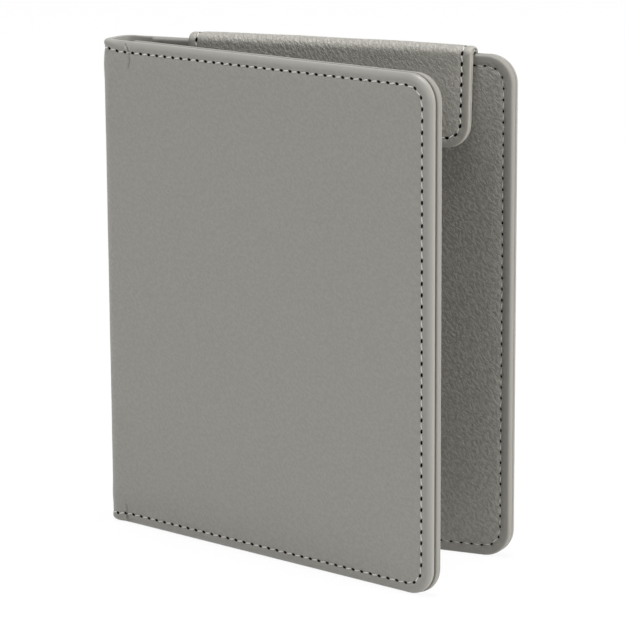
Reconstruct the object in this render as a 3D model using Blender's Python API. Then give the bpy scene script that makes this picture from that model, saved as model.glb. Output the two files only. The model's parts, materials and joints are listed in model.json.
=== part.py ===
"""Notepad holder: two stitched covers on a soft round spine, standing half open, with a flap for the pad.

The flap grows out of the seam in the back cover's top edge, arches over it and hangs down inside.
The back cover lies along +X with its outer face to +Y, and the front cover swings on the spine.
"""

import math

import bmesh
import bpy

# Covers
COVER_HEIGHT = 0.165
COVER_WIDTH = 0.138  # from the fold axis to the outer edge
COVER_CORNER = 0.0096  # radius of the two outer corners
BOARD_START = 0.008  # from the fold axis to where the stiff outer side of a cover begins
PANEL_START = 0.0103  # and its inner panel, whose edge lies on the lining
OPENING = math.radians(17)  # between the covers, as the holder stands

# The layers of a cover, from the seam in its middle outwards
SKIN = 0.0007
BOARD = 0.00105
LAYER_GAP = 0.00016  # glue line between two layers
EDGE_ROLL = 0.0019  # radius of the rolled edge of a cover's skin
SEAM_CHAMFER = 0.0004  # where the two skins of a cover meet in its edge
TURN_IN = 0.009  # width of the skin turned in behind the board
POCKET_CHAMFER = 0.0006  # inside the rolled edge

# Spine
SPINE_WIDTH = 0.0099  # between the two fold axes
FOLD_INNER_RADIUS = 0.0003  # of the lining, inside each fold
END_CLEARANCE = 0.0003  # between pieces that meet end to end, and under the spine
FOAM_RECESS = 0.0012  # the foam stops short of the skins' ends

# Stitching
THREAD = 0.0005
THREAD_CLEARANCE = 0.0001
THREAD_DEPTH = 0.00015  # of the thread's middle below the skin
COVER_STITCH_MARGIN = 0.0035
PANEL_EDGE_MARGIN = 0.0037  # of the upright row near the spine, from the panel's edge
FLAP_STITCH_MARGIN = 0.003

# Flap
FLAP_START = 0.0262  # from the fold axis of the back cover
FLAP_WIDTH = 0.0993
FLAP_DROP = 0.0292  # from the top edge of the cover down to the flap's edge
FLAP_CORNER = 0.0075
FLAP_CORE = 0.00118  # filler between the flap's two skins
FLAP_ROLL = 0.0006
FLAP_SEAM_CHAMFER = 0.0002
FLAP_RIM = 0.004  # where the flap's two skins lie on each other
FLAP_STANDOFF = 0.00035  # between the flap and the panel that it lies on
ARCH_LIFT = 0.0001  # of the arch's centre above the cover's top edge
ROOT_DEPTH = 0.0085  # of the flap's root in the seam of the back cover

# Magnet in the flap and its steel plate in the back cover
MAGNET_DIAMETER = 0.014
MAGNET_MARGIN = 0.0007  # of filler below it
PLATE_DIAMETER = 0.014
PLATE_THICKNESS = 0.0008

# Roundness of the curves
CORNER_STEPS = 8
SMALL_CORNER = 0.0003
SMALL_CORNER_STEPS = 2
ROLL_STEPS = 4
FOLD_STEPS = 10
ARCH_STEPS = 14
THREAD_SIDES = 8
ROUND_STEPS = 40

# What follows from the sizes above
COVER_HALF = 2.5 * LAYER_GAP + 2 * SKIN + BOARD
FLAP_HALF = FLAP_CORE / 2 + LAYER_GAP + SKIN
FOLD_RADIUS = COVER_HALF + FOLD_INNER_RADIUS  # of the spine's middle layer in each fold
HALF_FOLD = math.radians(90) - (math.radians(90) + OPENING / 2) / 2
FOLD_TANGENT = FOLD_RADIUS * math.tan(HALF_FOLD)
SPINE_FLAT = SPINE_WIDTH - 2 * FOLD_TANGENT - 2 * END_CLEARANCE
TURN_IN_TOP = LAYER_GAP / 2 + SKIN
BOARD_BOTTOM = TURN_IN_TOP + LAYER_GAP
FLAP_OFFSET = COVER_HALF + FLAP_STANDOFF + FLAP_HALF  # from the back cover's middle to the flap's
ARCH_RADIUS = FLAP_OFFSET / 2
ARCH_HEIGHT = COVER_HEIGHT + ARCH_LIFT
ROOT_HALF = TURN_IN_TOP - LAYER_GAP
FLAP_BOTTOM = COVER_HEIGHT - FLAP_DROP
FLAP_TOP = ARCH_HEIGHT - END_CLEARANCE
FLAP_END = FLAP_START + FLAP_WIDTH
MAGNET_HEIGHT = FLAP_BOTTOM + FLAP_RIM + LAYER_GAP + MAGNET_MARGIN + MAGNET_DIAMETER / 2
MAGNET_PLACE = (FLAP_START + FLAP_WIDTH / 2, MAGNET_HEIGHT)

# The origin is under the middle of the whole holder
SPINE_LEAN = OPENING / 2
FRONT_AXIS = (-SPINE_WIDTH * math.sin(SPINE_LEAN), -SPINE_WIDTH * math.cos(SPINE_LEAN))
FOLD_OUTSIDE = FOLD_RADIUS + COVER_HALF
FRONT_FOLD_X = FRONT_AXIS[0] + FOLD_TANGENT * math.cos(OPENING) + FOLD_RADIUS * math.sin(OPENING)
LEFT_END = FRONT_FOLD_X - FOLD_OUTSIDE
ROLL_CENTRE = (COVER_WIDTH - EDGE_ROLL, COVER_HALF - EDGE_ROLL)
FRONT_END = (
    FRONT_AXIS[1]
    - ROLL_CENTRE[0] * math.sin(OPENING)
    - ROLL_CENTRE[1] * math.cos(OPENING)
    - EDGE_ROLL
)
BACK_AXIS = (-(LEFT_END + COVER_WIDTH) / 2, -(FRONT_END + COVER_HALF) / 2)

COLOURS = {
    "leather": ((0.25, 0.245, 0.23, 1), 0.55, 0.0),
    "lining": ((0.23, 0.225, 0.21, 1), 0.6, 0.0),
    "thread": ((0.62, 0.62, 0.6, 1), 0.7, 0.0),
    "board": ((0.33, 0.3, 0.26, 1), 0.9, 0.0),
    "foam": ((0.72, 0.72, 0.7, 1), 0.95, 0.0),
    "steel": ((0.6, 0.6, 0.6, 1), 0.35, 1.0),
}


def clear_scene():
    for item in list(bpy.data.objects):
        bpy.data.objects.remove(item, do_unlink=True)


def finish(name, kind):
    """A material of its own for one piece."""
    colour, roughness, metallic = COLOURS[kind]
    material = bpy.data.materials.new(name + "_finish")
    material.use_nodes = True
    shader = material.node_tree.nodes["Principled BSDF"]
    shader.inputs["Base Color"].default_value = colour
    shader.inputs["Roughness"].default_value = roughness
    shader.inputs["Metallic"].default_value = metallic
    material.diffuse_color = colour
    return material


def axis_empty(name, place, turn, parent=None):
    empty = bpy.data.objects.new(name, None)
    bpy.context.collection.objects.link(empty)
    empty.parent = parent
    empty.location = place
    empty.rotation_euler = (0, 0, turn)
    empty.empty_display_size = 0.02
    return empty


def add_object(name, shape, parent, kind=None, place=(0, 0, 0)):
    """Closes a bmesh into an object; without a kind it is a cutter."""
    bmesh.ops.recalc_face_normals(shape, faces=shape.faces)
    mesh = bpy.data.meshes.new(name)
    shape.to_mesh(mesh)
    shape.free()
    item = bpy.data.objects.new(name, mesh)
    bpy.context.collection.objects.link(item)
    item.parent = parent
    item.location = place
    if kind is None:
        item.hide_render = True
        item.display_type = "WIRE"
    else:
        mesh.materials.append(finish(name, kind))
        mesh.shade_smooth()
        mesh.set_sharp_from_angle(angle=math.radians(35))
    return item


def cut(item, cutter):
    modifier = item.modifiers.new("cut by " + cutter.name, "BOOLEAN")
    modifier.operation = "DIFFERENCE"
    modifier.solver = "EXACT"
    modifier.object = cutter


def loft(rings):
    """A closed shape through rings of as many points each, with a flat face on the first and last."""
    shape = bmesh.new()
    layers = [[shape.verts.new(point) for point in ring] for ring in rings]
    count = len(layers[0])
    for low, high in zip(layers, layers[1:]):
        for i in range(count):
            j = (i + 1) % count
            shape.faces.new((low[i], low[j], high[j], high[i]))
    shape.faces.new(layers[0])
    shape.faces.new(layers[-1])
    return shape


def arc(centre, radius, start, end, steps):
    points = []
    for i in range(steps + 1):
        angle = start + (end - start) * i / steps
        points.append((centre[0] + radius * math.cos(angle), centre[1] + radius * math.sin(angle)))
    return points


def rounded_outline(low, high, corners):
    """A rectangle's outline; corners holds a radius and a number of steps for each, from the low one."""
    places = (low, (high[0], low[1]), high, (low[0], high[1]))
    inward = ((1, 1), (-1, 1), (-1, -1), (1, -1))
    outline = []
    for quarter, (radius, steps) in enumerate(corners):
        start = math.pi + quarter * math.pi / 2
        centre = [place + way * radius for place, way in zip(places[quarter], inward[quarter])]
        outline += arc(centre, radius, start, start + math.pi / 2, steps)
    return outline


def cover_ring(start, inset, spine_inset, level):
    """The outline of a cover from start on, drawn in by inset, and by spine_inset there, at a level."""
    outer = (max(COVER_CORNER - inset, SMALL_CORNER), CORNER_STEPS)
    small = (SMALL_CORNER, SMALL_CORNER_STEPS)
    low = (start + spine_inset, inset)
    high = (COVER_WIDTH - inset, COVER_HEIGHT - inset)
    return [(u, level, z) for u, z in rounded_outline(low, high, (small, outer, outer, small))]


def flap_ring(inset, top_inset, level):
    """The same for the flap, whose upper side runs on into the arch."""
    outer = (max(FLAP_CORNER - inset, SMALL_CORNER), CORNER_STEPS)
    small = (SMALL_CORNER, SMALL_CORNER_STEPS)
    low = (FLAP_START + inset, FLAP_BOTTOM + inset)
    high = (FLAP_END - inset, FLAP_TOP - top_inset)
    return [(u, level, z) for u, z in rounded_outline(low, high, (outer, outer, small, small))]


def roll_profile(radius, top):
    """Inset and level of each ring along a rolled edge, from the face down its side."""
    profile = []
    for i in range(ROLL_STEPS + 1):
        angle = math.pi / 2 * i / ROLL_STEPS
        profile.append((radius * (1 - math.sin(angle)), top - radius * (1 - math.cos(angle))))
    return profile


def cover_skin(name, frame, start, side, kind):
    """Leather drawn over a board: rolled over its edge and turned in behind it, square at the spine."""
    pocket_top = COVER_HALF - SKIN
    rolled = roll_profile(EDGE_ROLL, COVER_HALF)
    rings = [cover_ring(start, inset, 0, side * level) for inset, level in rolled]
    rings.append(cover_ring(start, 0, 0, side * (LAYER_GAP / 2 + SEAM_CHAMFER)))
    rings.append(cover_ring(start, SEAM_CHAMFER, 0, side * LAYER_GAP / 2))
    rings.append(cover_ring(start, TURN_IN, TURN_IN / 2, side * LAYER_GAP / 2))
    rings.append(cover_ring(start, TURN_IN, TURN_IN / 2, side * TURN_IN_TOP))
    rings.append(cover_ring(start, SKIN, SKIN, side * TURN_IN_TOP))
    rings.append(cover_ring(start, SKIN, SKIN, side * (pocket_top - POCKET_CHAMFER)))
    rings.append(cover_ring(start, SKIN + POCKET_CHAMFER, SKIN, side * pocket_top))
    return add_object(name, loft(rings), frame, kind)


def cover_board(name, frame, start, side):
    inset = SKIN + LAYER_GAP + POCKET_CHAMFER
    levels = (BOARD_BOTTOM, BOARD_BOTTOM + BOARD)
    rings = [cover_ring(start, inset, SKIN + LAYER_GAP, side * level) for level in levels]
    return add_object(name, loft(rings), frame, "board")


def cover_filler(name, frame):
    """Foam that levels the space inside the turned-in skins."""
    inset = TURN_IN + END_CLEARANCE
    spine_inset = TURN_IN / 2 + END_CLEARANCE
    rings = [cover_ring(PANEL_START, inset, spine_inset, side * TURN_IN_TOP) for side in (-1, 1)]
    return add_object(name, loft(rings), frame, "foam")


def tube(points, radius):
    """A round thread along points in a plane of constant level."""
    rings = []
    for i, (u, level, z) in enumerate(points):
        before = points[max(i - 1, 0)]
        after = points[min(i + 1, len(points) - 1)]
        along = math.atan2(after[2] - before[2], after[0] - before[0])
        ring = []
        for k in range(THREAD_SIDES):
            angle = 2 * math.pi * (k + 0.5) / THREAD_SIDES
            aside = radius * math.cos(angle)
            rise = radius * math.sin(angle)
            ring.append((u - aside * math.sin(along), level + rise, z + aside * math.cos(along)))
        rings.append(ring)
    return loft(rings)


def cover_seam(start, level):
    """The row of stitches: out along the foot, up the outer edge and back along the head."""
    radius = COVER_CORNER - COVER_STITCH_MARGIN
    right = COVER_WIDTH - COVER_STITCH_MARGIN - radius
    low = COVER_STITCH_MARGIN + radius
    high = COVER_HEIGHT - COVER_STITCH_MARGIN - radius
    route = [(start, COVER_STITCH_MARGIN)]
    route += arc((right, low), radius, -math.pi / 2, 0, CORNER_STEPS)
    route += arc((right, high), radius, 0, math.pi / 2, CORNER_STEPS)
    route.append((start, COVER_HEIGHT - COVER_STITCH_MARGIN))
    return [(u, level, z) for u, z in route]


def panel_edge_seam(margin, level):
    """The upright row of stitches near the panel's edge, between the rows along its foot and head."""
    u = PANEL_START + PANEL_EDGE_MARGIN
    low = COVER_STITCH_MARGIN + margin
    return [(u, level, z) for z in (low, COVER_HEIGHT - low)]


def flap_seam(top, level):
    """The row of stitches: down the left edge, along the lower one and up the right."""
    radius = FLAP_CORNER - FLAP_STITCH_MARGIN
    left = FLAP_START + FLAP_STITCH_MARGIN
    right = FLAP_END - FLAP_STITCH_MARGIN
    low = FLAP_BOTTOM + FLAP_STITCH_MARGIN + radius
    route = [(left, top)]
    route += arc((left + radius, low), radius, math.pi, 1.5 * math.pi, CORNER_STEPS)
    route += arc((right - radius, low), radius, -math.pi / 2, 0, CORNER_STEPS)
    route.append((right, top))
    return [(u, level, z) for u, z in route]


def stitch(skin, name, frame, seam, end, step, face, side):
    """Sinks a seam's groove into a skin and lays the thread in it, short of the groove's ends by step."""
    level = side * (face - THREAD_DEPTH)
    groove = tube(seam(end - step, level), THREAD / 2 + THREAD_CLEARANCE)
    cut(skin, add_object(name + "_groove", groove, frame))
    return add_object(name, tube(seam(end + step, level), THREAD / 2), frame, "thread")


def extrude_plan(plan, low, high):
    return loft([[(x, y, z) for x, y in plan] for z in (low, high)])


def box_shape(low, high):
    plan = [(low[0], low[1]), (high[0], low[1]), (high[0], high[1]), (low[0], high[1])]
    return extrude_plan(plan, low[2], high[2])


def disc_shape(centre, diameter, low, high):
    """A disc that faces along Y, about a place in X and Z."""
    circle = arc(centre, diameter / 2, 0, 2 * math.pi * (1 - 1 / ROUND_STEPS), ROUND_STEPS - 1)
    return loft([[(u, level, z) for u, z in circle] for level in (low, high)])


def build_cover(frame, label, side):
    """The two skins, boards, filler and threads of one cover; side is +1 where its outside faces +Y."""
    outer = cover_skin(label + "_outer_skin", frame, BOARD_START, side, "leather")
    inner = cover_skin(label + "_inner_panel", frame, PANEL_START, -side, "lining")
    cover_board(label + "_outer_board", frame, BOARD_START, side)
    cover_board(label + "_inner_board", frame, PANEL_START, -side)
    filler = cover_filler(label + "_filler", frame)
    around = (
        (outer, "_outer_stitching", cover_seam, BOARD_START, THREAD, side),
        (inner, "_inner_stitching", cover_seam, PANEL_START, THREAD, -side),
        (inner, "_panel_edge_stitching", panel_edge_seam, 2 * THREAD, THREAD / 2, -side),
    )
    for skin, row, seam, end, step, way in around:
        stitch(skin, label + row, frame, seam, end, step, COVER_HALF, way)
    return outer, inner, filler


def spine_layers():
    """The layers that run round the spine, outside first.

    Each has its name, its material, its two levels, how far it stops short of the skins' ends, and
    where the cover's own piece begins that it runs up to.
    """
    core = COVER_HALF - SKIN - LAYER_GAP
    return (
        ("skin", "leather", COVER_HALF - SKIN, COVER_HALF, END_CLEARANCE, BOARD_START),
        ("foam", "foam", -core, core, FOAM_RECESS, BOARD_START),
        ("lining", "lining", -COVER_HALF, SKIN - COVER_HALF, END_CLEARANCE, PANEL_START),
    )


def build_crease(frame, label, side):
    """The soft fold between the spine and a cover, in the frame of that cover."""
    start = math.pi / 2
    end = math.pi - SPINE_LEAN
    centre = (FOLD_TANGENT, -FOLD_RADIUS)
    for layer, kind, low, high, short, meets in spine_layers():
        edge = meets - END_CLEARANCE
        plan = [(edge, high)]
        plan += arc(centre, FOLD_RADIUS + high, start, end, FOLD_STEPS)
        plan += arc(centre, FOLD_RADIUS + low, end, start, FOLD_STEPS)
        plan.append((edge, low))
        mirrored = [(x, side * y) for x, y in plan]
        shape = extrude_plan(mirrored, short, COVER_HEIGHT - short)
        add_object(label + "_crease_" + layer, shape, frame, kind)


def build_spine(frame):
    """The flat middle of the spine; its outside faces -X of its own frame."""
    half = SPINE_FLAT / 2
    for layer, kind, low, high, short, _ in spine_layers():
        plan = [(-low, -half), (-low, half), (-high, half), (-high, -half)]
        add_object("spine_" + layer, extrude_plan(plan, short, COVER_HEIGHT - short), frame, kind)


def flap_skin(name, frame, side, kind):
    """Half of the flap: a shallow tray whose rim meets the other half's at the seam in the flap's edge."""
    rings = [flap_ring(inset, 0, side * level) for inset, level in roll_profile(FLAP_ROLL, FLAP_HALF)]
    rings.append(flap_ring(0, 0, side * (LAYER_GAP / 2 + FLAP_SEAM_CHAMFER)))
    rings.append(flap_ring(FLAP_SEAM_CHAMFER, 0, side * LAYER_GAP / 2))
    rings.append(flap_ring(FLAP_RIM, FLAP_RIM, side * LAYER_GAP / 2))
    rings.append(flap_ring(FLAP_RIM, FLAP_RIM, side * (FLAP_HALF - SKIN)))
    return add_object(name, loft(rings), frame, kind, in_flap_frame())


def in_flap_frame():
    """Flap pieces are drawn where they lie on the back cover, and their frame is on the arch's axis."""
    return (0, -(FLAP_OFFSET - ARCH_RADIUS), -ARCH_HEIGHT)


def arch_layer(name, frame, side):
    """One of the arch's two layers, full where it meets the flap and pared down towards its root."""
    meet = LAYER_GAP / 2
    far = []
    near = []
    for i in range(ARCH_STEPS + 1):
        share = i / ARCH_STEPS
        angle = math.pi * (1 + share)
        paring = max(0.0, 2 * share - 1) ** 2
        thick = FLAP_HALF + (ROOT_HALF - FLAP_HALF) * paring
        for radius, points in ((ARCH_RADIUS + side * thick, far), (ARCH_RADIUS + side * meet, near)):
            points.append((radius * math.cos(angle), -radius * math.sin(angle)))
    profile = far + near[::-1]
    rings = [[(u, y, z) for y, z in profile] for u in (FLAP_START, FLAP_END)]
    return add_object(name, loft(rings), frame, "leather" if side > 0 else "lining")


def build_flap(frame):
    outer = flap_skin("flap_outer_skin", frame, -1, "leather")
    inner = flap_skin("flap_lining", frame, 1, "lining")
    inset = FLAP_RIM + LAYER_GAP
    rings = [flap_ring(inset, inset, side * FLAP_CORE / 2) for side in (-1, 1)]
    filler = add_object("flap_filler", loft(rings), frame, "foam", in_flap_frame())
    room = disc_shape(MAGNET_PLACE, MAGNET_DIAMETER + 2 * LAYER_GAP, -FLAP_CORE, FLAP_CORE)
    cut(filler, add_object("magnet_room", room, frame, None, in_flap_frame()))
    half = FLAP_CORE / 2
    magnet = disc_shape(MAGNET_PLACE, MAGNET_DIAMETER, -half, half)
    add_object("flap_magnet", magnet, frame, "steel", in_flap_frame())
    for skin, label, side in ((outer, "flap_outer_stitching", -1), (inner, "flap_inner_stitching", 1)):
        thread = stitch(skin, label, frame, flap_seam, FLAP_TOP, -THREAD, FLAP_HALF, side)
        for item in (thread, bpy.data.objects[label + "_groove"]):
            item.location = in_flap_frame()
    arch_layer("flap_arch_skin", frame, 1)
    arch_layer("flap_arch_lining", frame, -1)


def build_flap_root(frame, panels):
    """The flap's root in the seam of the back cover, and the room for it in the turned-in skins."""
    low = COVER_HEIGHT - ROOT_DEPTH
    root = box_shape((FLAP_START, -ROOT_HALF, low), (FLAP_END, ROOT_HALF, ARCH_HEIGHT - END_CLEARANCE))
    add_object("flap_root", root, frame, "leather")
    aside = END_CLEARANCE
    deep = TURN_IN_TOP + LAYER_GAP / 2
    low_corner = (FLAP_START - aside, -deep, COVER_HEIGHT - TURN_IN - aside)
    high_corner = (FLAP_END + aside, deep, ARCH_HEIGHT + aside)
    cutter = add_object("flap_root_room", box_shape(low_corner, high_corner), frame)
    for panel in panels:
        cut(panel, cutter)


def build_plate(frame, filler):
    half = PLATE_THICKNESS / 2
    add_object("back_steel_plate", disc_shape(MAGNET_PLACE, PLATE_DIAMETER, -half, half), frame, "steel")
    room = disc_shape(MAGNET_PLACE, PLATE_DIAMETER + 2 * END_CLEARANCE, -COVER_HALF, COVER_HALF)
    cut(filler, add_object("plate_room", room, frame))


def main():
    clear_scene()
    back = axis_empty("back_cover_frame", (*BACK_AXIS, 0), 0)
    spine = axis_empty("spine_axis", (0, 0, 0), -SPINE_LEAN, back)
    front = axis_empty("front_cover_axis", (0, -SPINE_WIDTH, 0), -SPINE_LEAN, spine)
    flap = axis_empty("flap_axis", (0, -ARCH_RADIUS, ARCH_HEIGHT), 0, back)
    outer, inner, filler = build_cover(back, "back", 1)
    build_flap_root(back, (outer, inner))
    build_plate(back, filler)
    build_cover(front, "front", -1)
    build_crease(back, "back", 1)
    build_crease(front, "front", -1)
    build_spine(axis_empty("spine_frame", (0, -SPINE_WIDTH / 2, 0), 0, spine))
    build_flap(flap)


main()
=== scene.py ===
"""The looks of the notepad holder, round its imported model: leatherette covers, a soft spine and a flap.

Shapes are drawn in millimetres on the flat leather, as it is cut: s runs along it from the spine to the
outer edge, z up it, and n is the height over the middle of the cover. A place function then bends each
sheet round the fold or over the arch.
"""

import json
import math
from functools import partial

import bmesh
import bpy
import numpy as np
from mathutils import Matrix, Vector
from mathutils.geometry import delaunay_2d_cdt


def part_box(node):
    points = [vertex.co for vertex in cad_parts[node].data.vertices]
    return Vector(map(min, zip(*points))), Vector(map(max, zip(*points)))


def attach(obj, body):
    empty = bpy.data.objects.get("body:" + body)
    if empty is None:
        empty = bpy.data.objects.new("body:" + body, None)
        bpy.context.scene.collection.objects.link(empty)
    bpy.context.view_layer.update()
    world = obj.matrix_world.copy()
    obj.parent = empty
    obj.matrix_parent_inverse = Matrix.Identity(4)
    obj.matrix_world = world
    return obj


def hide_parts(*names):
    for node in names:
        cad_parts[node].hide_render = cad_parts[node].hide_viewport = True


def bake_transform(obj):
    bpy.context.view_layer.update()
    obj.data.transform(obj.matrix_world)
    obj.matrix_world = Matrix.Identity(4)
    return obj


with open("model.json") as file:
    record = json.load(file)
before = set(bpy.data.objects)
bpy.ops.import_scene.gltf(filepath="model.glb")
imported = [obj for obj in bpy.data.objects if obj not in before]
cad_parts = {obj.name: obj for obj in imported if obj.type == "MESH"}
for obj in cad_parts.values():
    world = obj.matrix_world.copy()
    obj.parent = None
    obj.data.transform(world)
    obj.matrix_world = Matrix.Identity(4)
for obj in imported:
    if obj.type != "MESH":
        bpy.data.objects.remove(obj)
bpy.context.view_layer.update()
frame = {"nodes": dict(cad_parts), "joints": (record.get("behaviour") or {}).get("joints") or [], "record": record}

MM = 0.001


# Sizes that come from the frame, in millimetres


def joint_axis(name):
    joint = next(joint for joint in frame["joints"] if joint["name"] == name)
    return Vector(joint["pos_m"]) / MM


def edge_of(node, corner, axis):
    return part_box(node)[corner][axis] / MM


BACK_AXIS = joint_axis("back_cover_fold")
FRONT_AXIS = joint_axis("front_cover_fold")
ARCH_AXIS = joint_axis("flap_lift")
SPINE_WIDTH = (FRONT_AXIS - BACK_AXIS).length
SPINE_LEAN = math.atan2(BACK_AXIS.x - FRONT_AXIS.x, BACK_AXIS.y - FRONT_AXIS.y)
OPENING = 2 * SPINE_LEAN
COVER_HEIGHT = edge_of("back_outer_skin", 1, 2)
COVER_WIDTH = edge_of("back_outer_skin", 1, 0) - BACK_AXIS.x
COVER_HALF = edge_of("back_outer_skin", 1, 1) - BACK_AXIS.y
PANEL_START = edge_of("back_inner_panel", 0, 0) - BACK_AXIS.x
FLAP_LEFT = edge_of("flap_outer_skin", 0, 0)
FLAP_RIGHT = edge_of("flap_outer_skin", 1, 0)
FLAP_BOTTOM = edge_of("flap_outer_skin", 0, 2)
ARCH_RADIUS = BACK_AXIS.y - ARCH_AXIS.y
FLAP_HALF = ARCH_AXIS.y - ARCH_RADIUS - edge_of("flap_outer_skin", 0, 1)

# Sizes of the leather and its edges, in millimetres
SKIN = 0.7
SEAM_GAP = 0.1  # half the gap between two turned-in skins
COVER_CORNER = 9.1
COVER_ROLL_IN = 2.0  # how far the rolled edge reaches in over the cover
COVER_ROLL_DOWN = 1.9
COVER_DOME = 0.65  # fall of the outer skin's margin, from its stitches to its edge
PANEL_ROLL_IN = 1.1
ROLL_SQUARENESS = 0.66  # the power of a superellipse's sine and cosine: 1 is round
COVER_SQUARENESS = 0.88
COVER_TURN_IN = 8.8
LIP_IN = 0.6  # the small round beside the seam
LIP_DOWN = 0.45
BOARD_CHAMFER = 0.6
PANEL_ROLL = 0.4  # of the panel's cut edge near the spine
PANEL_CORNER = 0.4
PANEL_OVERHANG = {"front": 0.45, "back": -0.15}  # of the inner panels beyond the outer skins
PANEL_RISE = 0.1  # and above their heads
LINING_SHORT = 0.06  # the gap between the lining and the panel's edge
LINING_STEP = 0.75  # how far the spine's lining lies below the panels
LINING_ROLL = 1.3
LINING_TURN_IN = 4.0
FOLD_INNER_RADIUS = 0.3
FLAP_CORNER = 7.5
FLAP_ROLL_IN = 1.05
FLAP_ROLL_DOWN = 0.8
FLAP_RIM = 4.0
FLAP_ROOT_DEPTH = 1.2
ROOT_HALF = 0.62

# Stitching, in millimetres
PITCH = 3.6
COVER_STITCH_MARGIN = 3.5
PANEL_EDGE_MARGIN = 3.7
PANEL_ROW_MARGIN = 2.3  # from the upright row's last cut to the panel's head or foot
FLAP_STITCH_MARGIN = 3.0
FLAP_PITCH = 3.25
SLIT_SLANT = math.radians(9)  # of a needle's cut to its row
PANEL_CUT, LINING_CUT = 0.7, 0.85  # size of the cuts, where those of the outer skins have 1
CUT_CLEAR = 0.9  # between a cut and a sheet's end
FIRST_CUT = 0.8  # of a cover, from the middle of the spine, as a share of the pitch
# Half the thread's thickness, and its middle's height over the leather
COVER_THREAD, PANEL_THREAD, LINING_THREAD = (0.18, 0.01), (0.15, -0.13), (0.17, 0.0)
TWIST_PER_MM = 2.2  # radians: the thread's plies

# Fineness of the meshes
RING_STEP = 1.0
FINE_STEP = 0.4  # along the edges near the spine, up to SOFT_END
SOFT_END = 14.0
CORNER_STEPS = 16
ROLL_STEPS = 8
SLIT_SIDES = 12
THREAD_SIDES = 9
THREAD_RINGS = 13
FLAT_GRID = 3.2
FOLD_GRID = 0.7
FINE_PAST_FOLD, FINE_PAST_ARCH = 9.0, 4.0  # how far the fine grid goes on beyond them

FOLD_RADIUS = COVER_HALF + FOLD_INNER_RADIUS
FOLD_SWEEP = math.pi / 2 - SPINE_LEAN
FOLD_TANGENT = FOLD_RADIUS * math.tan(FOLD_SWEEP / 2)
SPINE_REST = SPINE_WIDTH / 2 - FOLD_TANGENT
LINING_TOP = COVER_HALF - LINING_STEP
ARCH_LENGTH = math.pi * ARCH_RADIUS
FLAP_WIDTH = FLAP_RIGHT - FLAP_LEFT
FLAP_LENGTH = ARCH_LENGTH + ARCH_AXIS.z - FLAP_BOTTOM


# Colours and materials


def colour(code, alpha=1.0):
    """A hex sRGB colour as linear values."""
    parts = [int(code[i : i + 2], 16) / 255 for i in (1, 3, 5)]
    linear = [c / 12.92 if c <= 0.04045 else ((c + 0.055) / 1.055) ** 2.4 for c in parts]
    return (*linear, alpha)


def set_inputs(tree, node, inputs):
    """Each input is a value or another node's output."""
    for name, value in inputs.items():
        if isinstance(value, bpy.types.NodeSocket):
            tree.links.new(value, node.inputs[name])
        else:
            node.inputs[name].default_value = value


def add_node(tree, kind, inputs=None, **settings):
    """Adds a shader node with its settings and links."""
    made = tree.nodes.new("ShaderNode" + kind)
    for name, value in settings.items():
        setattr(made, name, value)
    set_inputs(tree, made, inputs or {})
    return made


def add_object(name, data):
    item = bpy.data.objects.new(name, data)
    bpy.context.scene.collection.objects.link(item)
    return item


def new_material(name):
    material = bpy.data.materials.new(name)
    material.use_nodes = True
    tree = material.node_tree
    return material, tree, tree.nodes["Principled BSDF"]


SOFT_STEP = {"interpolation_type": "SMOOTHSTEP"}
GRAIN_SLOPE = math.radians(-50)  # of the drawn-out pebbles
EDGE_VALLEY = 0.7  # the share of the valleys' painted shade and dullness where the grain is drawn flat
VALLEY_DULLNESS = 0.12  # how much rougher a valley is than a pebble


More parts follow.
